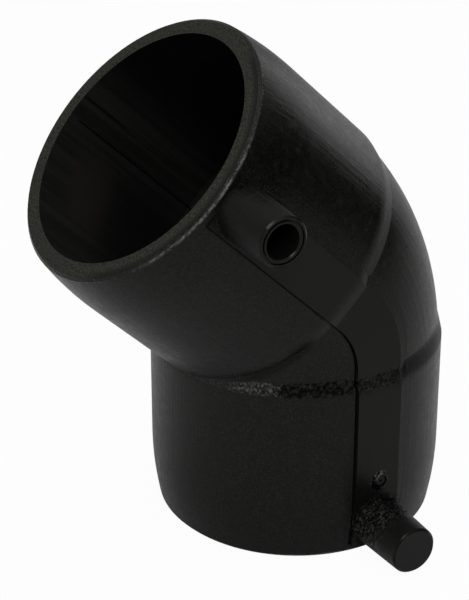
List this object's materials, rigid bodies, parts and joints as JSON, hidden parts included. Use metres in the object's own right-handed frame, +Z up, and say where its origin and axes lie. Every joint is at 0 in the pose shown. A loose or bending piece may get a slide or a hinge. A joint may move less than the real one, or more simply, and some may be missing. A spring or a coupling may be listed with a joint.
{
  "type": "electrofusion elbow",
  "caption": "Black polyethylene 45 degree electrofusion elbow with a socket at each end, shrouded contact terminals and a heating wire moulded in, for joining pipe.",
  "frame": {"origin": "centre of the lower mouth, on the lower socket's axis", "axes": "+Z up along the lower socket's axis into the fitting; the bend turns from +Z towards -X; the terminals stand out towards -Y"},
  "size_m": [0.1084, 0.0926, 0.1341],
  "materials": {
    "black_polyethylene": "satin",
    "resistance_wire": "drawn",
    "terminal_brass": "turned",
    "indicator_polyethylene": "satin",
    "plug_plastic": "satin"
  },
  "bodies": {
    "root": {"elbow_body": "black_polyethylene", "heating_wire": "resistance_wire", "terminal_pin_lower": "terminal_brass", "terminal_pin_upper": "terminal_brass", "fusion_indicator_lower": "indicator_polyethylene", "fusion_indicator_upper": "indicator_polyethylene", "terminal_plug_lower": "plug_plastic"}
  },
  "joints": []
}
